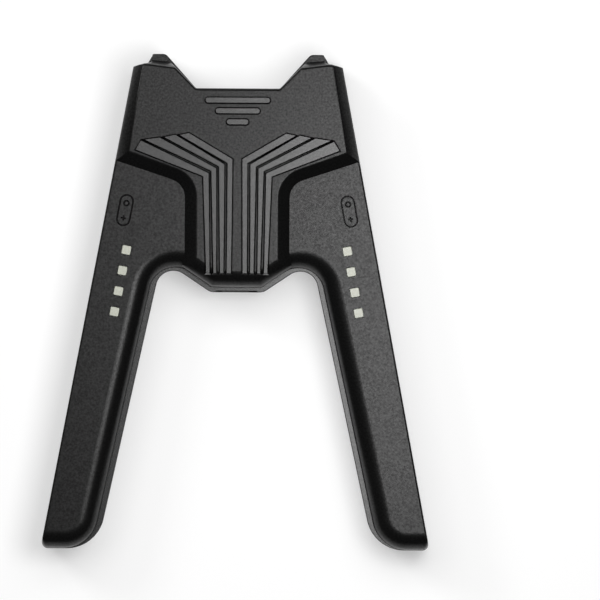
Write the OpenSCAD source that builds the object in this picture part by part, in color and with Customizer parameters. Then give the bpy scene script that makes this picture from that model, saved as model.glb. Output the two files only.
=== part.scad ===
// Charging grip for a pair of game controllers.
// It lies on its back with its front face up: X across, Y towards the notched top end, Z up.
// The two splayed arms carry a slide rail each on their straight outer sides.

/* [View] */
// which piece to draw, all for the whole grip

/* [Body outline] */
// height of the outline from arm tips to horns, mm
body_length = 131.3; // [110:0.1:150]
// width between the outer sides at the top end, mm
top_width = 55.45; // [48:0.1:64]
// lean of each outer side from straight up, degrees
splay = 10.57; // [6:0.05:14]
// lean of each arm's inner side, degrees
inner_splay = 12.3; // [8:0.05:16]
// width of an arm level with the inside of the V, mm
arm_width = 16.9; // [14:0.1:22]
// height of the arch inside the V above mid length, mm
arch_height = 8.15; // [0:0.05:16]
// radius of the two arches, mm
arch_radius = 4.65; // [3:0.05:7]
// height of the bottom edge of the middle body, mm
middle_bottom = 2.55; // [0:0.05:8]
// rise of the edge from there to the arches, degrees
middle_rise = 33.7; // [20:0.1:45]
// corner radius at the inner side of each arm tip, mm
tip_radius = 10; // [4:0.1:12]
// corner radius at the outer side of each arm tip, mm
tip_outer_radius = 1.6; // [1:0.1:5]
// height of the notch floor above mid length, mm
notch_floor = 56.55; // [50:0.05:60]
// half width of the notch floor, mm
notch_half = 11.07; // [8:0.05:13]
// height of the outer top corners above mid length, mm
corner_height = 62.2; // [60:0.05:64]
// how far the front cover's end wall leans out under each horn, mm
horn_lean = 1.4; // [0.5:0.1:1.8]

/* [Covers] */
// height of the joint line above the back, mm
parting = 15; // [12:0.1:17]
// height of the arms' front face above the back, mm
arm_top = 20; // [18:0.1:24]
// rise of the middle platform above the arms, mm
platform_rise = 2.5; // [1:0.1:4]
// width of the rounding along the free edges of the front cover, mm
edge_round = 4.85; // [3:0.05:6]
// width of the softened edge at the top end, mm
top_round = 0.6; // [0.3:0.05:2]
// width of the softened edge along the outer sides, mm
side_round = 0.6; // [0.3:0.05:1]
// how much larger the front cover's arches are, which widens the ledge there, mm
arch_more = 0.7; // [0:0.05:1.5]
// how far the rear cover stands out at the arm tips, mm
tip_ledge = 0.15; // [0.1:0.05:1.4]
// how far the rear cover stands out beyond the front cover, mm
ledge = 1.35; // [0.8:0.05:2.5]
// wall of both covers, mm
wall = 2; // [1.4:0.1:2.6]

/* [Platform] */
// half width of the flat spine between the fans, mm
spine_half = 10.87; // [9:0.01:12]
// width of the slope beside the platform, mm
shoulder_width = 3; // [2:0.05:4]
// half width of the platform at its shoulders, mm
shoulder_half = 28.9; // [26:0.05:31]
// height of the shoulders' outer ends above mid length, mm
shoulder_height = 39.65; // [35:0.05:44]
// lean of the straight part of the shoulders, degrees
shoulder_lean = 19.8; // [10:0.1:30]
// radius where a shoulder turns into the spine, mm
shoulder_radius = 8; // [5:0.1:12]
// width of the side chamfer at the top end, mm
chamfer_top = 2.45; // [1.5:0.05:4]

/* [Ornament] */
// rise of the fan ribs and bars, mm
rib_rise = 0.8; // [0.3:0.05:1.2]
// bevel at the top of each rib, mm
rib_bevel = 0.35; // [0.1:0.05:0.5]
// height of the lower end of the ribs above mid length, mm
rib_foot = 7.9; // [7:0.05:10]
// lengths of the three bars, mm
bar_lengths = [17.4, 12.1, 6.2];
// heights of the three bars above mid length, mm
bar_heights = [53.4, 50.62, 47.68];
// width of a bar, mm
bar_width = 1.9; // [1:0.05:2.4]

/* [Rails] */
// depth of a rail into the side, mm
rail_depth = 4.2; // [3.8:0.1:5]
// height of a rail across its lips, mm
rail_height = 12.6; // [12:0.1:13.2]
// height of a rail's middle above the back, mm
rail_middle = 11.9; // [11:0.1:12.5]
// length of a rail, mm
rail_length = 100; // [90:0.5:104]
// width of the channel under the lips, mm
channel_width = 10.2; // [9.8:0.05:10.6]
// width of the channel's mouth, mm
mouth_width = 7.8; // [7:0.05:8.6]
// thickness of the lips, mm
lip = 0.9; // [0.7:0.05:1.2]
// depth of the channel behind the lips, mm
channel_depth = 2.2; // [1.8:0.05:2.4]
// length of a rail below the stop in its channel, mm
rail_end = 8; // [6:0.1:12]
// distance of a rail's end screws from its ends, mm
rail_screw_inset = [6, 19];
// head and shank of the rail screws, mm
rail_screw = [2.8, 1.4];
// thickness of a rail screw's head, mm
rail_screw_head = 0.6; // [0.4:0.05:0.8]
// play between a rail and its pocket, mm
rail_play = 0.1; // [0.05:0.01:0.3]

/* [Charge plugs] */
// length of a plug's tongue, mm
tongue_length = 3.5; // [2.5:0.1:5]
// width of a plug's tongue, mm
tongue_width = 6.6; // [6:0.1:7.6]
// thickness of a plug's tongue, mm
tongue_thick = 1; // [0.8:0.05:1.3]
// number of contacts
contacts = 10; // [6:1:10]
// spacing of the contacts, mm
contact_pitch = 0.6; // [0.5:0.01:0.65]

/* [Charge lights] */
// side of each square window, mm
window = 2.5; // [1.5:0.1:3]
// number of windows on each arm
windows = 4; // [2:1:5]
// spacing of the windows, mm
window_pitch = 5.54; // [4:0.01:7]
// distance of the windows' middles from the outer side, mm
window_inset = 7.4; // [7:0.05:9]
// distance of the first window from the top corner, mm
window_start = 48.1; // [44:0.1:56]
// play between a light post and its window, mm
window_play = 0.05; // [0.02:0.01:0.2]
// thickness of the light guide's plate, mm
guide_plate = 1.4; // [1:0.1:2]
// width of the light boards, mm
light_board_width = 5.4; // [4.5:0.1:6]
// height of the light boards' upper face, mm
light_board_top = 15; // [13:0.1:15.5]

/* [Main board] */
// width of the main board, mm
board_width = 25; // [20:0.5:26]
// length of the main board, mm
board_length = 37; // [30:0.5:40]
// thickness of all boards, mm
board_thick = 1; // [0.8:0.1:1.6]
// height of the main board's upper face, mm
board_top = 10.4; // [9:0.1:11]
// gap between the board's front edge and the middle bottom edge, mm
board_gap = 4.2; // [4:0.1:8]
// side and height of the charge chip, mm
chip = [5, 0.9];
// side and height of the power coil, mm
coil = [6, 2.8];
// length, width and height of a capacitor, mm
capacitor = [1.6, 0.9, 0.8];
// width, height and length of the socket's shell, mm
socket = [8.94, 3.2, 7.4];
// width and height of the recess round the socket, mm
recess = [11.2, 4.8];

/* [Screws] */
// shank of the case screws, mm
screw_shank = 2.2; // [2:0.1:2.6]
// head of the case screws, mm
screw_head = 4; // [3.6:0.1:4.4]
// radial play round a case screw's head and shank, mm
screw_play = 0.2; // [0.1:0.05:0.4]
// depth of a case screw's pocket in the back, mm
screw_pocket = 5; // [3:0.1:7]
// thickness of a case screw's head, mm
screw_head_rise = 1.5; // [1:0.1:2]
// length of a case screw's shank, mm
screw_length = 9.5; // [7:0.1:10]
// distance of each case screw from the outer side, and its height above mid length, mm
screw_spots = [[12.4, 50.5], [15.15, 25], [6.85, -52.5]];
// head, shank and length of the board screws, mm
board_screw = [3.4, 1.5, 5.5];
// thickness of a board screw's head, mm
board_screw_head = 1; // [0.6:0.1:1.4]

/* [Hidden] */
$fn = 48;
eps = 0.01;

// Colours of the finishes
black_shell = "#2b2b2c";
black_rail = "#1c1c1d";
milky = "#e9e6da";
board_green = "#1f4a35";
gold = "#c9a24a";
tin = "#b9bbbd";
chip_black = "#202022";

half = body_length / 2;
// the wall between a rail's pocket and the hollow of the arm
rail_wall = 1.3;
rail_back = rail_depth + rail_wall;
platform_top = arm_top + platform_rise;
corner_x = top_width / 2;
// distance from a rail's top to the stop in its channel
travel = rail_length - rail_end;
lean = tan(splay);
inner_lean = tan(inner_splay);
rise = tan(middle_rise);

// A point on the outer side and on an arm's inner side at height y
function outer_x(y) = corner_x + lean * (corner_height - y);
inner_ref = outer_x(-2.1) - arm_width;
function inner_x(y) = inner_ref + inner_lean * (-2.1 - y);
screw_places = [for (p = screw_spots) [outer_x(p[1]) - p[0], p[1]]];

// Where an arm's inner side, run straight, meets the slope of the middle body
vee_angle = 90 + inner_splay - middle_rise;
vee_way = ([sin(inner_splay), -cos(inner_splay)] - [cos(middle_rise), sin(middle_rise)]);
arch_drop = -arch_radius * (vee_way[1] / norm(vee_way) / sin(vee_angle / 2) + 1);
vee_y = arch_height + arch_drop;
vee = [inner_x(vee_y), vee_y];
// The slope then starts where it reaches the middle body's bottom edge
middle_corner = [vee[0] - (vee_y - middle_bottom) / rise, middle_bottom];

// Outline corners of the right half, from the notch round the arm to the middle of the bottom edge.
// Each is a place and a corner radius.
tip_in = [inner_x(-half), -half];
tip_out = [outer_x(-half), -half];
function arm_corners(less, more = 0) = [
    [tip_out, tip_outer_radius, 4],
    [tip_in, tip_radius - less, 6],
    [vee, arch_radius + more, 8],
    [middle_corner, 3, 3],
];
rear_corners = concat([
    [[notch_half, notch_floor], 0.8, 2],
    [[19.2, half], 1.6, 3],
    [[22.75, half], 0.7, 2],
    [[24.1, 63.3], 1.2, 2],
    [[corner_x, corner_height], 0.7, 2],
], arm_corners(0));
// The front cover's end wall leans out towards the joint under each horn: t is 1 there and 0 at the top
front_end = [[16.6, 62.15], [23.4, 63.02], [24.7, 63.06]];
function front_corners(t) = concat([
    [[notch_half, notch_floor], 0.8, 2],
    [front_end[0] + t * horn_lean * [1.05, 1.05], 0.6, 3],
    [front_end[1] + t * horn_lean * [-0.1, 0.75], 0.4, 2],
    [front_end[2] - t * [0.3, 0], 0.4, 2],
    [[corner_x, corner_height], 0.7, 2],
], arm_corners(0, arch_more));
// The insides, whose ends are tighter and which leave the horns solid
inner_corners = concat([
    [[notch_half, notch_floor], 0.8, 2],
    [[16.6, 62.1], 0.6, 3],
    [[19, 62.4], 0.4, 2],
    [[21.5, 62.6], 0.4, 2],
    [[corner_x, corner_height], 0.3, 2],
], arm_corners(4));
// Kinds of the outline's edges: 0 top end, 1 outer side, 2 free edge, 3 arm tip
edge_kinds = [0, 0, 0, 0, 0, 1, 3, 2, 2, 2];

function unit(v) = v / norm(v);
function inward(u) = [u[1], -u[0]];
function turned(v, a) = [v[0] * cos(a) - v[1] * sin(a), v[0] * sin(a) + v[1] * cos(a)];
function meet(p, u, q, v) = p + u * (cross(q - p, v) / cross(u, v));

// One corner rounded, as a list of points. The way in and out are unit vectors.
function rounded(c, u, v, r, k) =
    let (t = atan2(cross(u, v), u * v), s = sign(t), back = r * tan(abs(t) / 2),
         n = -s * inward(u), mid = c - u * back + n * r)
    [for (i = [0:k]) mid + turned(-n * r, t * i / k)];

// Half outline with each edge moved inwards: inset holds one distance for each kind of edge
function half_outline(corners, edges, inset) =
    let (n = len(corners),
         pts = concat([[0, corners[0][0][1]]], [for (c = corners) c[0]], [[0, corners[n - 1][0][1]]]),
         dirs = [for (i = [0:n]) unit(pts[i + 1] - pts[i])],
         off = [for (i = [0:n]) inset[edges[i]]])
    [for (i = [0:n - 1])
        let (u = dirs[i], v = dirs[i + 1], p = pts[i + 1],
             c = meet(p + inward(u) * off[i], u, p + inward(v) * off[i + 1], v),
             o = (off[i] + off[i + 1]) / 2,
             r = cross(u, v) < 0 ? max(corners[i][1] - o, 0.3) : corners[i][1] + o)
        each rounded(c, u, v, r, corners[i][2])];

function mirrored(pts) = [for (i = [len(pts) - 1:-1:0]) [-pts[i][0], pts[i][1]]];
function raised(pts, z) = [for (p = pts) [p[0], p[1], z]];

// Triangles that fill a half outline, between its outer chain 0..m and its inner chain n-1..m+1
function fill(p, a, b, m) =
    a >= m && b <= m + 1 ? []
    : let (go_a = a < m && (b <= m + 1 || norm(p[a + 1] - p[b]) < norm(p[a] - p[b - 1])))
      concat([go_a ? [a, a + 1, b] : [a, b - 1, b]],
             go_a ? fill(p, a + 1, b, m) : fill(p, a, b - 1, m));

// A solid through a row of outlines, from its first cap to its last. Each layer is a height, the insets of
// the four kinds of edge and its corner list. A row that turns back inside itself makes a hollow shell.
module loft(layers) {
    halves = [for (l = layers) half_outline(l[2], edge_kinds, l[1])];
    n = len(halves[0]);
    k = len(layers);
    ring = 2 * n;
    // the outer chain ends at the corner on the outer side of the tip
    m = n - 1 - (7 + 9 + 4);
    polyhedron(
        points = [for (i = [0:k - 1]) each concat(raised(halves[i], layers[i][0]),
                                                   raised(mirrored(halves[i]), layers[i][0]))],
        faces = concat(
            [for (t = cap(halves[0], n, m)) [t[2], t[1], t[0]]],
            [for (t = cap(halves[k - 1], n, m)) t + [1, 1, 1] * (k - 1) * ring],
            [for (i = [0:k - 2], j = [0:ring - 1], h = [0, 1])
                let (a = i * ring + j, b = i * ring + (j + 1) % ring, c = a + ring, d = b + ring)
                h == 0 ? [a, b, c] : [b, d, c]]),
        convexity = 8);
}
function cap(pts, n, m) =
    let (tris = fill(pts, 0, n - 1, m), last = 2 * n - 1)
    concat(tris, [for (t = tris) [last - t[2], last - t[1], last - t[0]]], [[0, n - 1, n], [0, n, last]]);

// Front cover: from the ceiling down to the rim, over the rim, up the outside and in over a rounding that is
// wide on the free edges
front_layers = concat(
    [for (l = [[arm_top - wall, 2.6], [parting + 1.5, 0.4], [parting, 0]])
        [l[0], [wall, rail_back, ledge + wall + l[1], ledge + wall + l[1]], inner_corners]],
    [for (a = [0, 30, 55, 75, 90])
        [parting + (arm_top - parting) * sin(a),
         concat([for (r = [top_round, side_round]) a < 60 ? 0 : r * (1 - cos((a - 60) * 3))],
                ledge + edge_round * (1 - cos(a)), tip_ledge + 0.95 * edge_round * (1 - cos(a))),
         front_corners(1 - sin(a))]]);
// The rounding as a profile, to trim the platform where it reaches the free edges
module round_profile() {
    polygon(concat(
        [[90, parting + 1], [ledge + 0.1, parting + 1]],
        [for (a = [0, 30, 55, 75, 90])
            [ledge + 0.1 + edge_round * (1 - cos(a)),
             parting + platform_rise + 0.05 + (arm_top - parting) * sin(a)]],
        [[ledge + 0.1 + edge_round, platform_top + 3], [90, platform_top + 3]]));
}
// Everything inside the rounded edge that runs through a point at an angle
module inside_edge(p, angle) {
    translate([p[0], p[1], 0]) rotate([0, 0, angle]) rotate([90, 0, 90])
        translate([0, 0, -80]) linear_extrude(160) round_profile();
}

module arm_frame() {
    translate([corner_x, corner_height, 0]) rotate([0, 0, splay]) children();
}
module on_side(s) {
    if (s > 0) children();
    else mirror([1, 0, 0]) children();
}
module both_sides() {
    children();
    mirror([1, 0, 0]) children();
}

// Platform outlines on the right half: foot of the slope, then its top edge
function spine_turn(grow) =
    let (x = spine_half + grow, u = [-cos(shoulder_lean), -sin(shoulder_lean)],
         side = [sin(shoulder_lean), -cos(shoulder_lean)] * grow,
         p = [shoulder_half, shoulder_height] + side,
         c = meet(p, u, [x, 0], [0, 1]))
    rounded(c, u, [0, -1], shoulder_radius - grow, 5);
module platform(foot, top, grow) {
    // the slope runs on a little below its foot, so it crosses the arms' face cleanly
    sink = 0.5;
    more = grow + shoulder_width * sink / platform_rise;
    low_y = middle_bottom - 3;
    high_y = corner_height + 6;
    shoulder_low = [shoulder_half, shoulder_height] + 1.1 * shoulder_width * [sin(shoulder_lean), -cos(shoulder_lean)];
    along = [cos(shoulder_lean), sin(shoulder_lean)];
    side_u = unit([outer_x(0) - outer_x(10), -10]);
    low_end = meet(shoulder_low, along, [corner_x, corner_height], side_u)
        + more * [cos(shoulder_lean), 0] + (more - grow) * [0, -1];
    lower = concat([[corner_x + more - lean * 6, high_y], low_end],
                   [for (p = spine_turn(shoulder_width + more)) p],
                   [[spine_half + shoulder_width + more, low_y]]);
    high_end = [shoulder_half, shoulder_height] + [grow, -grow];
    chamfer_x = corner_x - chamfer_top;
    side_v = unit([shoulder_half - chamfer_x, shoulder_height - corner_height]);
    upper = concat([meet([chamfer_x + grow, corner_height], side_v, [0, high_y], [1, 0]), high_end],
                   [for (p = spine_turn(grow)) p],
                   [[spine_half + grow, low_y]]);
    n = len(lower);
    low = concat(lower, mirrored(lower));
    high = concat(upper, mirrored(upper));
    under = 3;
    // the foot of the slope stands on the arms' face, with a straight skirt under it
    rows = [raised(low, foot - under), raised(low, foot - sink), raised(high, top)];
    ring = 2 * n;
    cap = concat([for (i = [0:n - 2]) each [[i, i + 1, ring - 1 - i], [i + 1, ring - 2 - i, ring - 1 - i]]]);
    polyhedron(
        points = [for (r = rows) each r],
        faces = concat(
            [for (t = cap) [t[2], t[1], t[0]]],
            [for (t = cap) t + [1, 1, 1] * 2 * ring],
            [for (i = [0, 1], j = [0:ring - 1], h = [0, 1])
                let (a = i * ring + j, b = i * ring + (j + 1) % ring, c = a + ring, d = b + ring)
                h == 0 ? [a, b, c] : [b, d, c]]),
        convexity = 6);
}

// Fan ribs: the two corners of the upper end, the two bends, and the two corners of the foot
rib_plans = [
    [[12.9, 44.55], [15.2, 44.05], [2.57, 36.75], [2.64, 0], [1.56, 0], [1.36, 37.75]],
    [[16.5, 44.05], [19.25, 43.45], [4.85, 35.85], [4.39, 0], [3.57, 0], [3.5, 36.35]],
    [[20.6, 43.3], [24.4, 42.75], [6.88, 34.65], [6.15, 0], [5.48, 0], [5.66, 35.25]],
    [[25.5, 42.45], [26.9, 40.15], [9.02, 33.25], [8.06, 0], [7.24, 0], [7.67, 33.95]],
];
function at_foot(p) = p[1] == 0 ? [p[0], rib_foot] : p;
function inset_plan(pts, d) =
    let (n = len(pts), u = [for (i = [0:n - 1]) unit(pts[(i + 1) % n] - pts[i])])
    [for (i = [0:n - 1]) let (v = u[(i + n - 1) % n], w = u[i])
        meet(pts[i] + inward(v) * d, v, pts[i] + inward(w) * d, w)];
module rib(plan) {
    pts = [for (p = plan) at_foot(p)];
    top = inset_plan(pts, rib_bevel);
    n = len(pts);
    low = platform_top - 0.4;
    polyhedron(
        points = concat(raised(pts, low), raised(pts, platform_top + rib_rise - rib_bevel),
                        raised(top, platform_top + rib_rise)),
        faces = concat(
            [for (t = [[0, 1, 2], [0, 2, 5], [2, 3, 4], [2, 4, 5]]) [t[2], t[1], t[0]]],
            [for (t = [[0, 1, 2], [0, 2, 5], [2, 3, 4], [2, 4, 5]]) t + [1, 1, 1] * 2 * n],
            [for (i = [0, 1], j = [0:n - 1], h = [0, 1])
                let (a = i * n + j, b = i * n + (j + 1) % n, c = a + n, d = b + n)
                h == 0 ? [a, b, c] : [b, d, c]]));
}
module bar(length, y) {
    // a half round bar with round ends, sunk into the platform
    rise = bar_width / 2;
    reach = length / 2 - rise;
    translate([0, y, platform_top + rib_rise - rise]) {
        rotate([0, 90, 0]) cylinder(r = rise, h = 2 * reach, center = true);
        for (s = [-1, 1]) translate([s * reach, 0, 0]) sphere(r = rise);
    }
}

function window_y(i) = -(window_start + window_pitch * i);
module window_cuts(play, low, high) {
    for (i = [0:windows - 1])
        translate([-window_inset - window / 2 - play, window_y(i) - window / 2 - play, low])
            cube([window + 2 * play, window + 2 * play, high - low]);
}

rail_low = rail_middle - rail_height / 2;
module rail_pocket() {
    translate([-rail_depth - rail_play, -rail_length - rail_play, rail_low - rail_play])
        cube([rail_depth + 3, rail_length + 12, rail_height + 2 * rail_play]);
}
// Slot behind the plug, for the contacts' tails
tail_y = -travel + 0.8;
tail_slot = [1.4, contacts * contact_pitch + 0.8];
module tail_cut() {
    translate([-rail_back - 1, tail_y - tail_slot[0] / 2, rail_middle - tail_slot[1] / 2])
        cube([rail_back + 1 - lip - channel_depth + 0.5, tail_slot[0], tail_slot[1]]);
}
socket_axis = board_top + socket[1] / 2;
board_front = middle_bottom + board_gap;
socket_front = board_front - 2;
socket_block_low = socket_axis - recess[1] / 2 - 1.6;
module recess_cut() {
    r = recess[1] / 2;
    translate([0, socket_front, socket_axis]) rotate([90, 0, 0])
        linear_extrude(8) {
            square([recess[0] - recess[1], recess[1]], center = true);
            for (s = [-1, 1]) translate([s * (recess[0] / 2 - r), 0]) circle(r);
        }
    // the ledge is cut back over the socket
    translate([-recess[0] / 2 + 0.1, middle_bottom - 1, socket_axis]) cube([recess[0] - 0.2, 1.6, parting - 8]);
}
module socket_hole() {
    translate([-socket[0] / 2 - 0.15, socket_front - 1, board_top - 0.15])
        cube([socket[0] + 0.3, 10, socket[1] + 0.3]);
}

boss_d = screw_shank + 3.2;
// The top end and the outer sides, just inside the walls of the arms
end_plan = concat([[notch_half, notch_floor - 2 * eps]], [for (p = front_end) p - [0, 2 * eps]],
                  [for (y = [corner_height - 0.1, 0]) [outer_x(y) - 2 * eps, y]]);
module raised_part() {
    intersection() {
        platform(arm_top, platform_top, 0);
        linear_extrude(60) polygon(concat(end_plan, mirrored(end_plan)));
        inside_edge([0, middle_bottom], 0);
        inside_edge(middle_corner, middle_rise);
        mirror([1, 0, 0]) inside_edge(middle_corner, middle_rise);
    }
}
module raised_core() {
    // hollow under the platform, open to the inside
    core = concat([[notch_half - 1.4, notch_floor - wall], front_end[0] + [0.4, -2.5], [outer_x(60.4) - 6, 60.4],
                   [shoulder_half - 4, shoulder_height + 2]],
                  [for (p = spine_turn(-1.2)) p], [[spine_half - 1.2, middle_bottom + ledge + edge_round + 1.4]]);
    translate([0, 0, arm_top - wall - 1]) linear_extrude(platform_rise + 1) polygon(concat(core, mirrored(core)));
}
module front_cover() {
    color(black_shell) difference() {
        union() {
            difference() {
                union() {
                    loft(front_layers);
                    raised_part();
                }
                raised_core();
            }
            both_sides() for (p = screw_places)
                translate([p[0], p[1], screw_pocket + 3])
                    cylinder(d = boss_d, h = (p[1] > shoulder_height ? platform_top : arm_top) - screw_pocket - 4);
        }
        both_sides() for (p = screw_places)
            translate([p[0], p[1], screw_pocket]) cylinder(d = screw_shank, h = screw_length + 1.5);
        both_sides() arm_frame() {
            window_cuts(window_play, parting, arm_top + 1);
            rail_pocket();
            tail_cut();
        }
        recess_cut();
    }
    color(black_shell) both_sides() for (r = rib_plans) rib(r);
    color(black_shell) for (i = [0:2]) bar(bar_lengths[i], bar_heights[i]);
}

rear_layers = concat(
    [for (l = [[0, [2.6, 2.2, 7.5]], [0.7, [1.2, 0.9, 4.9]], [2.4, [0.2, 0.1, 2.7]], [5.2, [0, 0, 1.15]],
               [8.6, [0, 0, 0.3]], [12.4, [0, 0, 0]]])
        [l[0], concat(l[1], l[1][2]), rear_corners]],
    [for (l = [[parting - 0.4, 0, 0], [parting - 0.1, 0.1, 0.4], [parting, 0.3, 1]])
        [l[0], [0, 0, l[1] * ledge, l[2] * tip_ledge], rear_corners]],
    [for (l = [[parting, 3.35], [6, 3.6], [wall, 6.2]])
        [l[0], [wall, rail_back, l[1], l[1]], inner_corners]]);
board_posts = [[9.8, board_front + 6.4], [9.8, board_front + board_length - 3.4]];
light_posts = [-travel / 2 - 1, -travel + 14, -travel - 1];
module rear_cover() {
    color(black_shell) difference() {
        union() {
            loft(rear_layers);
            both_sides() for (p = screw_places)
                translate([p[0], p[1], 1]) cylinder(d = screw_head + 2 * screw_play + 2.4, h = screw_pocket + 1.8);
            both_sides() for (p = board_posts)
                translate([p[0], p[1], 1]) cylinder(d = 5, h = board_top - board_thick - 1);
            both_sides() arm_frame() for (y = light_posts)
                translate([-rail_back - 1.2 - light_board_width / 2, y, 1])
                    cylinder(d = 3, h = light_board_top - board_thick - 1);
            // block that closes in the socket
            translate([-recess[0] / 2 - 1.2, middle_bottom + 1.5, socket_block_low])
                cube([recess[0] + 2.4, board_gap - 1.7, parting - socket_block_low]);
        }
        both_sides() for (p = screw_places) {
            translate([p[0], p[1], -1]) cylinder(d = screw_head + 2 * screw_play, h = screw_pocket + 1);
            translate([p[0], p[1], 0]) cylinder(d = screw_shank + 2 * screw_play, h = screw_pocket + 3);
            translate([p[0], p[1], screw_pocket + 3 - eps]) cylinder(d = boss_d + 0.2, h = 3);
        }
        both_sides() for (p = board_posts)
            translate([p[0], p[1], board_top - board_screw[2] - 0.9])
                cylinder(d = board_screw[1] + 0.1, h = board_screw[2] + 5);
        both_sides() arm_frame() {
            rail_pocket();
            tail_cut();
        }
        recess_cut();
        socket_hole();
    }
}

module rail(s) {
    color(black_rail) on_side(s) arm_frame() difference() {
        translate([-rail_depth, -rail_length, rail_low]) cube([rail_depth, rail_length, rail_height]);
        translate([-lip - channel_depth, -travel, rail_middle - channel_width / 2])
            cube([channel_depth, travel + 1, channel_width]);
        translate([-lip - 0.1, -travel, rail_middle - mouth_width / 2])
            cube([lip + 1, travel + 1, mouth_width]);
        // notch that a controller's latch drops into
        translate([-lip - 0.1, -9.5, rail_middle + mouth_width / 2 - 1]) cube([lip + 1, 3.2, 1.9]);
        tail_cut();
        for (y = rail_screw_y)
            translate([-rail_depth - 1, y, rail_middle]) rotate([0, 90, 0]) {
                cylinder(d = rail_screw[1] + 0.2, h = 3);
                translate([0, 0, rail_depth + 1 - lip - channel_depth - rail_screw_head])
                    cylinder(d = rail_screw[0] + 0.2, h = 2);
            }
    }
}
rail_screw_y = [-rail_screw_inset[0], -0.44 * rail_length, -rail_length + rail_screw_inset[1]];
module rail_screws() {
    color(tin) both_sides() arm_frame() for (y = rail_screw_y)
        translate([-lip - channel_depth, y, rail_middle]) rotate([0, -90, 0]) {
            difference() {
                cylinder(d = rail_screw[0], h = rail_screw_head);
                translate([0, 0, -0.1]) cylinder(d = 0.4 * rail_screw[0], h = rail_screw_head / 2 + 0.1, $fn = 6);
            }
            cylinder(d = rail_screw[1], h = rail_depth - lip - channel_depth + rail_wall);
        }
}

module plug(s) {
    color(black_rail) on_side(s) arm_frame() {
        translate([-lip - channel_depth, -travel, rail_middle - channel_width / 2])
            difference() {
                cube([channel_depth, 4, channel_width]);
                translate([-1, 0.8 - tail_slot[0] / 2, (channel_width - tail_slot[1]) / 2])
                    cube([1.6, tail_slot[0], tail_slot[1]]);
            }
        translate([-lip - channel_depth / 2 - tongue_thick / 2, -travel + 3.9, rail_middle - tongue_width / 2])
            cube([tongue_thick, tongue_length + 0.1, tongue_width]);
    }
}
contact_out = -lip - channel_depth / 2 + tongue_thick / 2;
module plug_contacts(s) {
    color(gold) on_side(s) arm_frame() for (i = [0:contacts - 1]) {
        z = rail_middle + (i - (contacts - 1) / 2) * contact_pitch - 0.15;
        translate([contact_out, -travel + 4, z]) cube([0.12, tongue_length - 0.4, 0.3]);
        translate([-rail_back - 0.1, tail_y - 0.15, z]) cube([rail_back - lip - channel_depth + 0.5, 0.3, 0.3]);
    }
}
contact_board_x = -rail_back - 0.1 - board_thick;
module contact_board(s) {
    color(board_green) on_side(s) arm_frame()
        translate([contact_board_x, -travel - 3, rail_middle - 4.5])
            cube([board_thick, 9, light_board_top - board_thick - rail_middle + 4.5]);
}

light_x = -rail_back - 0.3 - light_board_width;
light_board_y = [-travel - 5, -39.5];
module light_board(s) {
    color(board_green) on_side(s) arm_frame()
        translate([light_x, light_board_y[0], light_board_top - board_thick])
            cube([light_board_width, light_board_y[1] - light_board_y[0], board_thick]);
}
module lights(s) {
    color(milky) on_side(s) arm_frame() for (i = [0:windows - 1])
        translate([-window_inset - 0.8, window_y(i) - 1, light_board_top]) cube([1.6, 2, 0.8]);
}
module light_guide(s) {
    color(milky) on_side(s) arm_frame() {
        translate([-window_inset - window / 2 - 0.6, window_y(windows - 1) - window / 2 - 1.2,
                   arm_top - wall - guide_plate])
            cube([window + 1.2, window_pitch * (windows - 1) + window + 2.4, guide_plate]);
        window_cuts(0, arm_top - wall - 0.2, arm_top);
    }
}

// The board's front corners are cut away along the slopes of the middle body
board_nose = 7;
board_plan = let (w = board_width / 2, cut = (w - board_nose) * rise + 1)
    [[-w, board_length], [-w, cut], [-board_nose, 0], [board_nose, 0], [w, cut], [w, board_length]];
module main_board() {
    color(board_green) difference() {
        translate([0, board_front, board_top - board_thick]) linear_extrude(board_thick) polygon(board_plan);
        both_sides() for (p = board_posts)
            translate([p[0], p[1], board_top - board_thick - 1]) cylinder(d = 2.2, h = board_thick + 2);
    }
}
module socket_profile(w, h) {
    r = h / 2;
    square([w - h, h], center = true);
    for (s = [-1, 1]) translate([s * (w / 2 - r), 0]) circle(r);
}
module socket_shell() {
    color(tin) translate([0, socket_front + socket[2], socket_axis]) rotate([90, 0, 0]) difference() {
        linear_extrude(socket[2]) socket_profile(socket[0], socket[1]);
        translate([0, 0, 1]) linear_extrude(socket[2]) socket_profile(socket[0] - 0.6, socket[1] - 0.6);
    }
}
module socket_tongue() {
    color(chip_black) translate([-3.3, socket_front + 0.8, socket_axis - 0.35])
        cube([6.6, socket[2] - 1.8, 0.7]);
}
chip_y = board_front + 0.46 * board_length;
module charge_chip() {
    color(chip_black) translate([-1.5 * chip[0], chip_y, board_top]) cube([chip[0], chip[0], chip[1]]);
}
module power_coil() {
    color(chip_black) translate([coil[0] / 2, chip_y - 1, board_top]) difference() {
        cube([coil[0], coil[0], coil[1]]);
        translate([coil[0] / 2, coil[0] / 2, coil[1] - 0.4]) cylinder(d = 0.56 * coil[0], h = 1);
    }
}
module board_capacitors() {
    color(tin) for (row = [[-6, [-8, -5, 5]], [8.5, [-7, -3.5, 1, 6.5]]], x = row[1])
        translate([x, chip_y + row[0], board_top]) cube(capacitor);
}
ribbon_y = 17.2;
ribbon_width = 3;
ribbon_thick = 0.25;
ribbon_in = board_top + 0.6;
module ribbon_shape(grow) {
    t = ribbon_thick;
    end_x = outer_x(ribbon_y) - rail_back - light_board_width + 2.2;
    translate([0, ribbon_y - grow, 0]) rotate([90, 0, 0]) mirror([0, 0, 1])
        linear_extrude(ribbon_width + 2 * grow) polygon([
            [board_width / 2 - 2.4, ribbon_in - grow], [board_width / 2 + 1.2, ribbon_in - grow],
            [end_x - 4.2, light_board_top], [end_x, light_board_top], [end_x, light_board_top + t],
            [end_x - 4.4, light_board_top + t], [board_width / 2 + 1, ribbon_in + t + grow],
            [board_width / 2 - 2.4, ribbon_in + t + grow]]);
}
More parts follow.
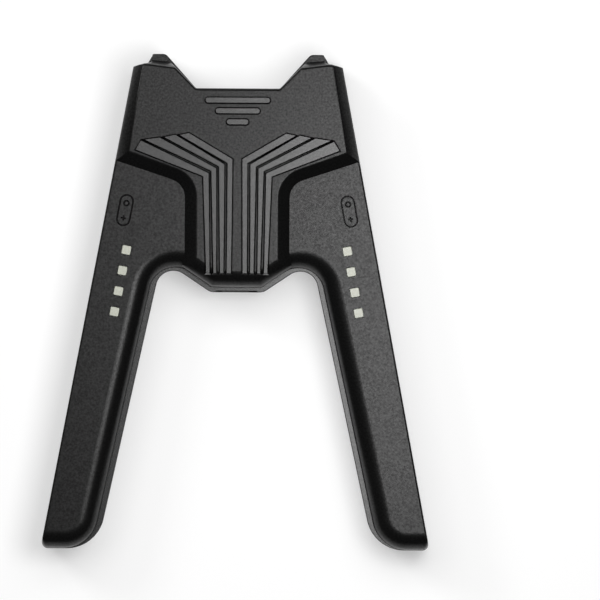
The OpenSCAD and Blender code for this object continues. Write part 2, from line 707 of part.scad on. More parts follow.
module ribbon(s) {
    color("#d9d6cc") on_side(s) ribbon_shape(0);
}
module ribbon_sockets() {
    color("#e6e2d6") both_sides() difference() {
        translate([board_width / 2 - 3, ribbon_y - 0.7, board_top]) cube([3, ribbon_width + 1.4, 1.5]);
        ribbon_shape(0.03);
    }
}
module board_screws() {
    color(tin) both_sides() for (p = board_posts) translate([p[0], p[1], board_top]) {
        difference() {
            cylinder(d = board_screw[0], h = board_screw_head);
            for (a = [0, 90]) rotate([0, 0, a])
                translate([0, 0, board_screw_head]) cube([0.7 * board_screw[0], 0.5, board_screw_head], center = true);
        }
        translate([0, 0, -board_screw[2]]) cylinder(d = board_screw[1], h = board_screw[2] + 0.1);
    }
}
module case_screws() {
    color(tin) both_sides() for (p = screw_places) translate([p[0], p[1], screw_pocket]) {
        translate([0, 0, -screw_head_rise]) difference() {
            cylinder(d = screw_head, h = screw_head_rise);
            for (a = [0, 90]) rotate([0, 0, a])
                cube([0.6 * screw_head, 0.5, 1.3 * screw_head_rise], center = true);
        }
        cylinder(d = screw_shank - 0.1, h = screw_length);
    }
}

front_cover();
rear_cover();
rail(-1);  // left_rail
rail(1);  // right_rail
plug(-1);  // left_plug
plug(1);  // right_plug
plug_contacts(-1);  // left_plug_contacts
plug_contacts(1);  // right_plug_contacts
contact_board(-1);  // left_contact_board
contact_board(1);  // right_contact_board
light_guide(-1);  // left_light_guide
light_guide(1);  // right_light_guide
light_board(-1);  // left_light_board
light_board(1);  // right_light_board
lights(-1);  // left_lights
lights(1);  // right_lights
main_board();
socket_shell();
socket_tongue();
charge_chip();
power_coil();
board_capacitors();
ribbon_sockets();
ribbon(-1);  // left_ribbon
ribbon(1);  // right_ribbon
board_screws();
rail_screws();
case_screws();
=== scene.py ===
"""Charging grip for a pair of slide-on game controllers, dressed for its photograph."""

import logging
import math
from dataclasses import dataclass
from enum import Enum

import bmesh
import bpy
from mathutils import Matrix, Vector

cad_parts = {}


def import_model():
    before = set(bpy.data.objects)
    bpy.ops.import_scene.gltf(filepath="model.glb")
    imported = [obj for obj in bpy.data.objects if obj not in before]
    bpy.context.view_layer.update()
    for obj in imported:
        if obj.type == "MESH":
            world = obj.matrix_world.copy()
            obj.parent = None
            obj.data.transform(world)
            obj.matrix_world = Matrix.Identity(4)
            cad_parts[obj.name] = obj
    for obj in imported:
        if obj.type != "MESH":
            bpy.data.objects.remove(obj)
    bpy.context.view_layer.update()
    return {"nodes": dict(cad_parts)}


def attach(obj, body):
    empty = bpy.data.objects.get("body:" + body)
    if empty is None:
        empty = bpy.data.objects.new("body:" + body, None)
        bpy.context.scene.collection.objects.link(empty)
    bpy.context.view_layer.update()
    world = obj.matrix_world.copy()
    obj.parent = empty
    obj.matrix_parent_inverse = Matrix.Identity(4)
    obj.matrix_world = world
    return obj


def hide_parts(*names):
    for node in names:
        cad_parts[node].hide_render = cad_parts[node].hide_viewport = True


logging.basicConfig(level=logging.INFO, format="%(name)s: %(message)s")
log = logging.getLogger("charging_grip")

MM = 0.001
# Upward part of a normal from which a face counts as level.
LEVEL = 0.99995
Point = tuple[float, float]
# Place and radius of a corner.
Round = tuple[float, float, float]


def shift(x: float, y: float, z: float = 0.0) -> Matrix:
    """A move by millimetres, as a matrix in metres."""
    return Matrix.Translation((x * MM, y * MM, z * MM))


class Edge(Enum):
    """The kinds of edge that the body's outline has."""

    TOP_END = 0
    OUTER_SIDE = 1
    FREE = 2
    TIP = 3


# Sizes


@dataclass
class GripSizes:
    """The grip's driving sizes in millimetres and degrees.

    They are those of the part's source, apart from the bars' width.
    """

    body_length: float = 131.3
    top_width: float = 55.45
    splay: float = 10.57
    inner_splay: float = 12.3
    arm_width: float = 16.9
    arch_height: float = 8.15
    arch_radius: float = 4.65
    middle_bottom: float = 2.55
    middle_rise: float = 33.7
    tip_radius: float = 10.0
    tip_outer_radius: float = 1.6
    notch_floor: float = 56.55
    notch_half: float = 11.07
    corner_height: float = 62.2
    horn_lean: float = 1.4
    parting: float = 15.0
    arm_top: float = 20.0
    platform_rise: float = 2.5
    edge_round: float = 4.85
    top_round: float = 0.6
    side_round: float = 0.6
    ledge: float = 1.35
    wall: float = 2.0
    spine_half: float = 10.87
    shoulder_width: float = 3.0
    shoulder_half: float = 28.9
    shoulder_height: float = 39.65
    shoulder_lean: float = 19.8
    shoulder_radius: float = 8.0
    chamfer_top: float = 2.45
    rib_rise: float = 0.8
    rib_foot: float = 7.65
    bar_width: float = 2.05
    rail_depth: float = 4.2
    rail_height: float = 12.6
    rail_middle: float = 11.9
    rail_length: float = 100.0
    rail_wall: float = 1.3
    window: float = 2.5
    windows: int = 4
    window_pitch: float = 5.54
    window_inset: float = 7.4
    window_start: float = 48.1

    @property
    def half(self) -> float:
        """Half the body's length."""
        return self.body_length / 2

    @property
    def platform_top(self) -> float:
        """Height of the platform's face."""
        return self.arm_top + self.platform_rise

    @property
    def corner_x(self) -> float:
        """Half the width between the outer sides at the top end."""
        return self.top_width / 2

    @property
    def rail_back(self) -> float:
        """Distance from an outer side to the inside of the arm."""
        return self.rail_depth + self.rail_wall

    def outer_x(self, y: float) -> float:
        """Distance of the right outer side from the middle at height y."""
        return self.corner_x + math.tan(math.radians(self.splay)) * (self.corner_height - y)

    def inner_x(self, y: float) -> float:
        """Distance of the right arm's inner side from the middle at height y."""
        start = self.outer_x(-2.1) - self.arm_width
        return start + math.tan(math.radians(self.inner_splay)) * (-2.1 - y)

    def arm_matrix(self, side: int) -> Matrix:
        """The place of an arm's own frame, whose origin is the arm's outer top corner.

        Args:
            side: 1 for the right arm, -1 for the left.

        Returns:
            A matrix in metres from the arm's frame to the grip's.
        """
        place = shift(self.corner_x, self.corner_height)
        place = place @ Matrix.Rotation(math.radians(self.splay), 4, "Z")
        return place if side > 0 else Matrix.Diagonal((-1, 1, 1, 1)) @ place


# Plane geometry of the outline


def meet(p: Vector, u: Vector, q: Vector, v: Vector) -> Vector:
    """The point where the line through p along u crosses the one through q along v."""
    return p + u * ((q - p).cross(v) / u.cross(v))


def arc(start: int, stop: int, step: int) -> list[float]:
    """Angles in radians from start to stop, both in whole degrees."""
    return [math.radians(a) for a in range(start, stop + (1 if step > 0 else -1), step)]


def inward(u: Vector) -> Vector:
    """The direction into the body from an edge that runs along u."""
    return Vector((u.y, -u.x))


def mirrored(half: list[Vector]) -> list[Vector]:
    """The right half of a plan with its mirror image, as one ring."""
    return half + [Vector((-p.x, p.y)) for p in reversed(half)]


def raised(plan: list[Vector], z: float) -> list[Vector]:
    """A plan in millimetres at a height, as points in metres."""
    return [Vector((p.x, p.y, z)) * MM for p in plan]


def box_plan(x0: float, x1: float, y0: float, y1: float) -> list[Vector]:
    """A rectangle's corners."""
    return [Vector((x0, y0)), Vector((x1, y0)), Vector((x1, y1)), Vector((x0, y1))]


def rounded(corner: Vector, u: Vector, v: Vector, radius: float, steps: int) -> list[Vector]:
    """One rounded corner of an outline.

    Args:
        corner: The sharp corner.
        u: Direction of the edge that comes in.
        v: Direction of the edge that goes out.
        radius: Radius of the round.
        steps: Number of straight steps in it.

    Returns:
        The points of the round, in order.
    """
    turn = math.atan2(u.cross(v), u.dot(v))
    back = radius * math.tan(abs(turn) / 2)
    n = inward(u) * (-1 if turn > 0 else 1)
    middle = corner - u * back + n * radius
    turns = [Matrix.Rotation(turn * i / steps, 2) for i in range(steps + 1)]
    return [middle + m @ (-n * radius) for m in turns]


def moved_in(pts: list[Vector], d: float) -> list[Vector]:
    """A polygon with all its edges moved inwards.

    Args:
        pts: The corners, clockwise.
        d: The distance, negative to grow it.

    Returns:
        The new corners.
    """
    n = len(pts)
    ways = [(pts[(i + 1) % n] - pts[i]).normalized() for i in range(n)]
    return [
        meet(at + inward(ways[i - 1]) * d, ways[i - 1], at + inward(ways[i]) * d, ways[i])
        for i, at in enumerate(pts)
    ]


@dataclass
class Corner:
    """A corner of the half outline: its place, the radius of its round and the steps in it."""

    at: Vector
    radius: float
    steps: int


@dataclass
class Outline:
    """The right half of an outline, from the notch round the arm to the bottom's middle."""

    corners: list[Corner]
    edges: list[Edge]

    def half(self, insets: tuple[float, ...]) -> list[Vector]:
        """The half outline with its edges moved inwards.

        Args:
            insets: How far the edges of each kind move in, in the order of Edge.

        Returns:
            The points of the half, in order.
        """
        pts = [Vector((0, self.corners[0].at.y))]
        pts += [c.at for c in self.corners] + [Vector((0, self.corners[-1].at.y))]
        ways = [(b - a).normalized() for a, b in zip(pts, pts[1:], strict=False)]
        off = [insets[e.value] for e in self.edges]
        out: list[Vector] = []
        for i, c in enumerate(self.corners):
            u, v = ways[i], ways[i + 1]
            at = meet(c.at + inward(u) * off[i], u, c.at + inward(v) * off[i + 1], v)
            mean = (off[i] + off[i + 1]) / 2
            radius = max(c.radius - mean, 0.3) if u.cross(v) < 0 else c.radius + mean
            out += rounded(at, u, v, radius, c.steps)
        return out

    def ring(self, z: float, insets: tuple[float, ...]) -> list[Vector]:
        """The whole outline at a height, with its edges moved inwards, as points in metres."""
        return raised(mirrored(self.half(insets)), z)


# Mesh helpers


def skin(rings: list[list[Vector]]) -> bmesh.types.BMesh:
    """A closed skin through a row of rings with equal counts, capped at both ends.

    Args:
        rings: Closed rings of points. A row that turns back inside itself makes a shell.

    Returns:
        The skinned bmesh.
    """
    bm = bmesh.new()
    face = bm.faces.new([bm.verts.new(p) for p in rings[0]])
    for i, ring in enumerate(rings[1:]):
        made = bmesh.ops.extrude_face_region(bm, geom=[face])
        if i:
            bmesh.ops.delete(bm, geom=[face], context="FACES_ONLY")
        face = next(g for g in made["geom"] if isinstance(g, bmesh.types.BMFace))
        for vert, p in zip(face.verts, ring, strict=True):
            vert.co = p
    bmesh.ops.recalc_face_normals(bm, faces=bm.faces)
    return bm


def prism(plan: list[Vector], low: float, high: float) -> bmesh.types.BMesh:
    """A straight prism on a plan.

    Args:
        plan: Corners in millimetres.
        low: Height of its foot.
        high: Height of its top.

    Returns:
        The prism as a bmesh in metres.
    """
    bm = bmesh.new()
    face = bm.faces.new([bm.verts.new(p) for p in raised(plan, low)])
    made = bmesh.ops.extrude_face_region(bm, geom=[face])
    top = [g for g in made["geom"] if isinstance(g, bmesh.types.BMVert)]
    bmesh.ops.translate(bm, verts=top, vec=(0, 0, (high - low) * MM))
    bmesh.ops.recalc_face_normals(bm, faces=bm.faces)
    return bm


def placed(bm: bmesh.types.BMesh, matrix: Matrix) -> bmesh.types.BMesh:
    """Moves a mesh, and turns its faces outwards where the move mirrors it.

    Args:
        bm: The mesh.
        matrix: The move.

    Returns:
        The same mesh.
    """
    bmesh.ops.transform(bm, matrix=matrix, verts=bm.verts)
    bmesh.ops.recalc_face_normals(bm, faces=bm.faces)
    return bm


def bevel_edges(
    bm: bmesh.types.BMesh, edges: list[bmesh.types.BMEdge], width: float, segments: int
) -> None:
    """Rounds edges.

    Args:
        bm: The mesh.
        edges: The edges to round.
        width: Width of the round in millimetres.
        segments: Steps across it.
    """
    bmesh.ops.bevel(
        bm,
        geom=edges,
        offset=width * MM,
        offset_type="OFFSET",
        affect="EDGES",
        segments=segments,
        profile=0.5,
        clamp_overlap=True,
        material=-1,
    )


def flat_edges(bm: bmesh.types.BMesh, z: float) -> list[bmesh.types.BMEdge]:
    """The edges that lie at a height, in millimetres."""
    return [e for e in bm.edges if all(abs(v.co.z - z * MM) < 1e-6 for v in e.verts)]


def upright_edges(bm: bmesh.types.BMesh) -> list[bmesh.types.BMEdge]:
    """The edges that run upwards."""
    return [e for e in bm.edges if abs(e.verts[0].co.z - e.verts[1].co.z) > 1e-4]


def shade(bm: bmesh.types.BMesh, angle: float = 32.0) -> None:
    """Shades a mesh smooth, except on level faces and over sharp edges.

    Args:
        bm: The mesh.
        angle: Angle in degrees over which an edge stays sharp.
    """
    for f in bm.faces:
        f.smooth = abs(f.normal.z) < LEVEL
    for e in bm.edges:
        e.smooth = len(e.link_faces) == 2 and e.calc_face_angle(0.0) < math.radians(angle)


def linked(name: str, data: bpy.types.ID) -> bpy.types.Object:
    """Makes an object and links it to the scene.

    Args:
        name: The object's name.
        data: Its mesh, lamp or camera.

    Returns:
        The object.
    """
    obj = bpy.data.objects.new(name, data)
    bpy.context.scene.collection.objects.link(obj)
    return obj


def to_object(bm: bmesh.types.BMesh, name: str) -> bpy.types.Object:
    """Makes an object of a bmesh, smooth except at its sharp edges.

    Args:
        bm: The mesh, which is freed.
        name: The object's name.

    Returns:
        The linked object.
    """
    bm.normal_update()
    shade(bm)
    mesh = bpy.data.meshes.new(name)
    bm.to_mesh(mesh)
    bm.free()
    return linked(name, mesh)


class Cut(Enum):
    """What a solid does to another."""

    UNION = "UNION"
    DIFFERENCE = "DIFFERENCE"
    INTERSECT = "INTERSECT"


def combine(obj: bpy.types.Object, tool: bpy.types.Object, how: Cut) -> None:
    """Joins, cuts or trims obj with tool, and removes tool.

    Args:
        obj: The object that stays.
        tool: The object that is used up.
        how: The operation.
    """
    mod = obj.modifiers.new("cut", "BOOLEAN")
    mod.operation = how.value
    mod.solver = "EXACT"
    mod.object = tool
    graph = bpy.context.evaluated_depsgraph_get()
    graph.update()
    mesh = bpy.data.meshes.new_from_object(obj.evaluated_get(graph), depsgraph=graph)
    obj.modifiers.clear()
    old = obj.data
    name = old.name
    obj.data = mesh
    bpy.data.meshes.remove(old)
    mesh.name = name
    spare = tool.data
    bpy.data.objects.remove(tool)
    bpy.data.meshes.remove(spare)


def resmooth(obj: bpy.types.Object) -> None:
    """Cleans a cut mesh and shades it again.

    Args:
        obj: The object with the mesh.
    """
    bm = bmesh.new()
    bm.from_mesh(obj.data)
    bmesh.ops.remove_doubles(bm, verts=bm.verts, dist=1e-7)
    bmesh.ops.dissolve_degenerate(bm, edges=bm.edges, dist=1e-7)
    bmesh.ops.triangulate(bm, faces=[f for f in bm.faces if len(f.verts) > 4])
    bm.normal_update()
    shade(bm)
    bm.to_mesh(obj.data)
    bm.free()


def join(objs: list[bpy.types.Object], name: str) -> bpy.types.Object:
    """Joins several objects in one, as separate islands.

    Args:
        objs: The objects, which are used up.
        name: Name of the result.

    Returns:
        The joined object.
    """
    bm = bmesh.new()
    for o in objs:
        o.data.transform(o.matrix_world)
        bm.from_mesh(o.data)
    for o in objs:
        spare = o.data
        bpy.data.objects.remove(o)
        bpy.data.meshes.remove(spare)
    mesh = bpy.data.meshes.new(name)
    bm.to_mesh(mesh)
    bm.free()
    return linked(name, mesh)


# Finishes


def linear(code: str) -> tuple[float, float, float, float]:
    """Turns a colour to linear values.

    Args:
        code: Its sRGB hex code.

    Returns:
        Red, green, blue and an alpha of 1.
    """
    parts = [int(code[i : i + 2], 16) / 255 for i in (1, 3, 5)]
    lin = [c / 12.92 if c <= 0.04045 else ((c + 0.055) / 1.055) ** 2.4 for c in parts]
    return (*lin, 1.0)


def add_node(
    tree: bpy.types.NodeTree,
    kind: str,
    settings: dict[str, object] | None = None,
    links: dict[str, bpy.types.NodeSocket] | None = None,
) -> bpy.types.Node:
    """Adds a shader node with its settings and its incoming links.

    Args:
        tree: The material's node tree.
        kind: The node's type name.
        settings: Attributes, or input values where the key names an input.
        links: Output sockets by input name.

    Returns:
        The new node.
    """
    node = tree.nodes.new(kind)
    for key, value in (settings or {}).items():
        if hasattr(node, key) and key not in node.inputs:
            setattr(node, key, value)
        else:
            node.inputs[key].default_value = value
    for key, socket in (links or {}).items():
        tree.links.new(socket, node.inputs[key])
    return node


@dataclass(frozen=True)
class Finish:
    """A surface: what it is made of, and how it was made.

    The grain is a noise in Object coordinates. It raises the surface by grain_depth_mm, and
    swings the sheen by the share mottle and the colour's value by the share shade.
    """

    name: str
    colour: str
    roughness: float
    ior: float = 1.53
    metallic: float = 0.0
    specular: float = 0.5
    grain_mm: float = 0.5
    grain_depth_mm: float = 0.0
    mottle: float = 0.0
    shade: float = 0.0
    subsurface: float = 0.0

    def material(self) -> bpy.types.Material:
        """Builds the material.

        Returns:
            A material on a Principled BSDF.
        """
        mat = bpy.data.materials.new(self.name)
        mat.use_nodes = True
        tree = mat.node_tree
        tree.nodes.clear()
        settings = {
            "Base Color": linear(self.colour),
            "Roughness": self.roughness,
            "IOR": self.ior,
            "Metallic": self.metallic,
            "Specular IOR Level": self.specular,
        }
        if self.subsurface:
            settings["Subsurface Weight"] = self.subsurface
            settings["Subsurface Scale"] = 1.5 * MM
            settings["Subsurface Radius"] = (1.0, 0.9, 0.8)
        shader = add_node(tree, "ShaderNodeBsdfPrincipled", settings)
        place = add_node(tree, "ShaderNodeTexCoord").outputs["Object"]
        settings = {"Scale": 1.0 / (self.grain_mm * MM), "Detail": 2.0, "Roughness": 0.6}
        noise = add_node(tree, "ShaderNodeTexNoise", settings, {"Vector": place}).outputs["Fac"]
        if self.grain_depth_mm:
            settings = {"Strength": 1.0, "Distance": self.grain_depth_mm * MM}
            bump = add_node(tree, "ShaderNodeBump", settings, {"Height": noise})
            tree.links.new(bump.outputs["Normal"], shader.inputs["Normal"])
        swings = [(self.mottle, self.specular, shader.inputs["Specular IOR Level"])]
        if self.shade:
            tone = add_node(tree, "ShaderNodeHueSaturation", {"Color": linear(self.colour)})
            tree.links.new(tone.outputs["Color"], shader.inputs["Base Color"])
            swings.append((self.shade, 1.0, tone.inputs["Value"]))
        for share, mean, socket in swings:
            if share:
                settings = {"From Min": 0.3, "From Max": 0.7}
                settings |= {"To Min": mean * (1 - share), "To Max": mean * (1 + share)}
                swing = add_node(tree, "ShaderNodeMapRange", settings, {"Value": noise})
                tree.links.new(swing.outputs["Result"], socket)
        add_node(tree, "ShaderNodeOutputMaterial", None, {"Surface": shader.outputs["BSDF"]})
        return mat


# Black ABS from a spark-eroded mould: a fine even grain that scatters the sheen. The real grain
# is about 0.1 mm across and is drawn at 0.55 mm, the finest that the picture shows.
ABS_SPARK = Finish(
    "abs_spark_eroded_black", "#0c0c0c", 0.29,
    specular=0.185, grain_mm=0.55, grain_depth_mm=0.008, mottle=0.4,
)
# The same ABS from a part of the mould that was blasted finer: ribs, bars and the ledge take a
# satin highlight. Its grain is drawn at 0.55 mm too.
ABS_SATIN = Finish(
    "abs_fine_blasted_black", "#0b0b0b", 0.27, specular=0.42, grain_mm=0.55, mottle=0.15
)
# Rail moulded in glass-filled nylon: darker, a little waxy, with the flow marks of short fibres.
RAIL_NYLON = Finish(
    "rail_filled_nylon_black", "#1a1a1b", 0.42, grain_mm=0.4, grain_depth_mm=0.004, shade=0.2
)
# Light guide in moulded milky polycarbonate: light sinks in a little before it comes back, and
# the white filler is faintly cloudy.
GUIDE_PC = Finish(
    "milky_polycarbonate", "#a8aa9d", 0.38,
    ior=1.58, grain_mm=0.9, grain_depth_mm=0.003, shade=0.04, subsurface=0.4,
)
# Diode packages cast full of phosphor gel: yellow, with powder that settles in clouds.
DIODE = Finish(
    "diode_gel", "#e9d98a", 0.35, ior=1.41, grain_mm=0.2, grain_depth_mm=0.004, shade=0.12
)
# Circuit boards under a printed green solder mask: the glass weave of 0.5 mm shows through it.
SOLDER_MASK = Finish(
    "solder_mask_green", "#14452f", 0.35,
    grain_mm=0.5, grain_depth_mm=0.006, mottle=0.15, shade=0.18,
)
# Gold flash plated on stamped copper contacts: a satin that keeps the strip's drawing lines.
GOLD = Finish(
    "gold_flash", "#d9ab53", 0.25,
    ior=1.5, metallic=1.0, grain_mm=0.15, grain_depth_mm=0.002, shade=0.08,
)
# Nickel plated on drawn steel, for the socket and screws: bright, a little uneven.
NICKEL = Finish(
    "nickel_plate", "#b9b6ae", 0.28,
    ior=1.5, metallic=1.0, grain_mm=0.25, grain_depth_mm=0.002, shade=0.08,
)
# Transfer-moulded epoxy of the chip and the coil: a matte skin with pale filler grains.
EPOXY = Finish(
    "moulded_epoxy_black", "#202022", 0.55,
    grain_mm=0.15, grain_depth_mm=0.006, mottle=0.2, shade=0.25,
)
# Fired ceramic capacitors with a tan body: a fine speckle from sintering.
CERAMIC = Finish(
    "fired_ceramic_tan", "#a58a66", 0.5, grain_mm=0.12, grain_depth_mm=0.004, shade=0.12
)
# Laminated film of the flat cables and the moulded sockets: smooth, with a slight wave.
FILM = Finish(
    "cable_film_ivory", "#dcd8cb", 0.45, grain_mm=1.2, grain_depth_mm=0.01, shade=0.06
)


def dress(obj: bpy.types.Object, *mats: bpy.types.Material) -> None:
    """Gives an object its materials.

    Args:
        obj: The object.
        *mats: The materials, in slot order.
    """
    obj.data.materials.clear()
    for m in mats:
        obj.data.materials.append(m)


# Sub-assemblies


@dataclass(frozen=True)
class Stroke:
    """One groove of a sign in millimetres: a bar with round ends, or the outline of one."""

    radius: float
    reach: float
    y: float
    along_x: bool = False
    outline_only: bool = True


@dataclass
class Housing:
    """The front and rear covers, in millimetres."""

    sizes: GripSizes
    arch_more: float = 0.7
    slope_edge: float = 0.35
    slope_sink: float = 0.5
    seam: float = 0.1
    end_gap: float = 0.02
    far: float = 90.0
    back_height: float = 9.0
    back_reach: float = 7.0
    back_power: float = 1.2
    back_end: float = 2.4
    back_end_height: float = 3.0
    satin_low: float = 14.3
    satin_high_y: float = 40.0
    rib_plans: tuple[tuple[Point, ...], ...] = (
        ((12.9, 44.55), (15.2, 44.05), (2.57, 36.75), (2.64, 0), (1.56, 0), (1.36, 37.75)),
        ((16.5, 44.05), (19.25, 43.45), (4.85, 35.85), (4.39, 0), (3.57, 0), (3.5, 36.35)),
        ((20.6, 43.3), (24.4, 42.75), (6.88, 34.65), (6.15, 0), (5.48, 0), (5.66, 35.25)),
        ((25.5, 42.45), (26.9, 40.15), (9.02, 33.25), (8.06, 0), (7.24, 0), (7.67, 33.95)),
    )
    rib_bevel: float = 0.1
    rib_draft: float = 0.42
    rib_grow: float = 0.09
    sunk: float = 0.3
    bar_lengths: tuple[float, float, float] = (17.7, 12.3, 6.4)
    bar_heights: tuple[float, float, float] = (53.36, 50.55, 47.63)
    bar_edge: float = 0.4
    window_play: float = 0.05
    window_round: float = 0.3
    recess_radius: float = 2.4
    recess_reach: float = 3.2
    recess_depth: float = 2.2
    recess_height: float = 12.0
    slot_half: float = 5.5
    slot_depth: float = 0.45
    pockets: tuple[Point, ...] = ((17.5, 50.5), (19.5, 25), (42.3, -52.5))
    pocket_radius: float = 2.2
    pocket_length: float = 12.0
    pocket_middle: float = -1.0
    sign_at: Point = (-5.04, -37.8)
    sign_reach: Point = (2.0, 4.5)
    sign_width: float = 0.42
    sign_depth: float = 0.42
    sign_strokes: tuple[Stroke, ...] = (
        Stroke(1.9, 2.4, 0.0),
        Stroke(0.85, 0.0, 1.9),
        Stroke(0.21, 0.5, -2.1, outline_only=False),
        Stroke(0.21, 0.5, -2.1, along_x=True, outline_only=False),
    )

    def arm_corners(self, less: float, arch_more: float = 0.0) -> list[Corner]:
        """The corners round an arm.

        Args:
            less: How much smaller the inner round of the tip is.
            arch_more: How much larger the round of the arch is.

        Returns:
            The four corners, from the tip's outer side to the middle.
        """
        s = self.sizes
        way_in, way_up = math.radians(s.inner_splay), math.radians(s.middle_rise)
        way = Vector((math.sin(way_in) - math.cos(way_up), -math.cos(way_in) - math.sin(way_up)))
        gap = math.radians(90 + s.inner_splay - s.middle_rise)
        vee_y = s.arch_height - s.arch_radius * (way.y / way.length / math.sin(gap / 2) + 1)
        vee = Vector((s.inner_x(vee_y), vee_y))
        middle = Vector((vee.x - (vee_y - s.middle_bottom) / math.tan(way_up), s.middle_bottom))
        return [
            Corner(Vector((s.outer_x(-s.half), -s.half)), s.tip_outer_radius, 14),
            Corner(Vector((s.inner_x(-s.half), -s.half)), s.tip_radius - less, 24),
            Corner(vee, s.arch_radius + arch_more, 28),
            Corner(middle, 3.0, 10),
        ]

    @property
    def middle_corner(self) -> Vector:
        """Where the middle body's bottom edge turns up to the arches."""
        return self.arm_corners(0)[3].at

    def outline(self, top: list[Round], arm: list[Corner], steps: int = 6) -> Outline:
        """An outline from its corners at the top end and the arm.

        Args:
            top: The top end's corners, from the notch to the outer side.
            arm: The corners round the arm.
            steps: Steps in each corner at the top end.

        Returns:
            The outline.
        """
        corners = [Corner(Vector((x, y)), r, steps) for x, y, r in top] + arm
        edges = [Edge.TOP_END] * len(top) + [Edge.OUTER_SIDE, Edge.TIP] + [Edge.FREE] * 3
        return Outline(corners, edges)

    def front_end(self, t: float) -> list[Round]:
        """Corners of the front cover's top end, whose wall leans out under each horn.

        Args:
            t: 1 at the joint between the covers, 0 at the top.

        Returns:
            The corners, from the notch to the outer side.
        """
        s = self.sizes
        lean = t * s.horn_lean
        return [
            (s.notch_half, s.notch_floor, 0.8),
            (16.6 + 1.05 * lean, 62.15 + 1.05 * lean, 0.6),
            (23.4 - 0.1 * lean, 63.02 + 0.75 * lean, 0.4),
            (24.7 - 0.3 * t, 63.06, 0.4),
            (s.corner_x, s.corner_height, 0.7),
        ]

    def rear_end(self) -> list[Round]:
        """Corners of the rear cover's top end.

        Returns:
            The corners, from the notch to the outer side.
        """
        s = self.sizes
        return [
            (s.notch_half, s.notch_floor, 0.8),
            (19.2, s.half, 1.6),
            (22.75, s.half, 1.0),
            (24.1, 63.3, 1.2),
            (s.corner_x, s.corner_height, 0.7),
        ]

    def inside(self) -> Outline:
        """The outline of both covers' insides, which leaves the horns solid.

        Returns:
            The outline.
        """
        s = self.sizes
        top = [
            (s.notch_half, s.notch_floor, 0.8),
            (16.6, 62.1, 0.6),
            (19.0, 62.4, 0.4),
            (21.5, 62.6, 0.4),
            (s.corner_x, s.corner_height, 0.3),
        ]
        return self.outline(top, self.arm_corners(4))

    def fan_turn(self, grow: float) -> list[Vector]:
        """The line of a shoulder where it turns down into the spine.

        Args:
            grow: How far it lies outside the platform's top edge.

        Returns:
            The points of the turn.
        """
        s = self.sizes
        lean = math.radians(s.shoulder_lean)
        u = Vector((-math.cos(lean), -math.sin(lean)))
        start = Vector((s.shoulder_half, s.shoulder_height))
        start += Vector((math.sin(lean), -math.cos(lean))) * grow
        corner = meet(start, u, Vector((s.spine_half + grow, 0)), Vector((0, 1)))
        return rounded(corner, u, Vector((0, -1)), s.shoulder_radius - grow, 20)

    def front_shell(self) -> bpy.types.Object:
        """The arms' level of the front cover, hollow, with a wide round along its free edges.

        Returns:
            The shell.
        """
        s = self.sizes
        inner = self.inside()
        rings = []
        for z, more in ((s.arm_top - s.wall, 2.6), (s.parting + 1.5, 0.4), (s.parting, 0.0)):
            free = s.ledge + s.wall + more
            rings.append(inner.ring(z, (s.wall, s.rail_back, free, free)))
        steps = 24
        for i in range(steps + 1):
            a = math.radians(90 * i / steps)
            edge = max(0.0, 1 - math.cos(3 * a - math.pi)) if i > steps * 2 / 3 else 0.0
            z = s.parting + (s.arm_top - s.parting) * math.sin(a)
            out = self.outline(self.front_end(1 - math.sin(a)), self.arm_corners(0, self.arch_more))
            roll = s.edge_round * (1 - math.cos(a))
            top, side = s.top_round * edge, s.side_round * edge
            rings.append(out.ring(z, (top, side, s.ledge + roll, 0.15 + roll * 0.95)))
        return to_object(skin(rings), "front_shell")

    def slope_rings(self) -> list[list[Vector]]:
        """Rings of the platform: skirt, foot of the slope and top edge.

        Returns:
            The rings, upwards.
        """
        s = self.sizes
        more = s.shoulder_width * self.slope_sink / s.platform_rise
        lean = math.radians(s.shoulder_lean)
        along = Vector((math.cos(lean), math.sin(lean)))
        down = Vector((math.sin(lean), -math.cos(lean)))
        low_y, high_y = s.middle_bottom - 3, s.corner_height + 6
        side = Vector((s.outer_x(0) - s.outer_x(10), -10)).normalized()
        shoulder = Vector((s.shoulder_half, s.shoulder_height))
        corner = Vector((s.corner_x, s.corner_height))
        low_end = meet(shoulder + down * 1.1 * s.shoulder_width, along, corner, side)
        low_end = low_end + Vector((more * math.cos(lean), -more))
        top_x = s.corner_x + more - math.tan(math.radians(s.splay)) * 6
        lower = [Vector((top_x, high_y)), low_end, *self.fan_turn(s.shoulder_width + more)]
        lower.append(Vector((s.spine_half + s.shoulder_width + more, low_y)))
        chamfer = Vector((s.corner_x - s.chamfer_top, s.corner_height))
        way = (shoulder - chamfer).normalized()
        upper = [meet(chamfer, way, Vector((0, high_y)), Vector((1, 0))), shoulder]
        upper += [*self.fan_turn(0), Vector((s.spine_half, low_y))]
        foot = s.arm_top - self.slope_sink
        levels = (lower, s.arm_top - 3), (lower, foot), (upper, s.platform_top)
        return [raised(mirrored(half), z) for half, z in levels]

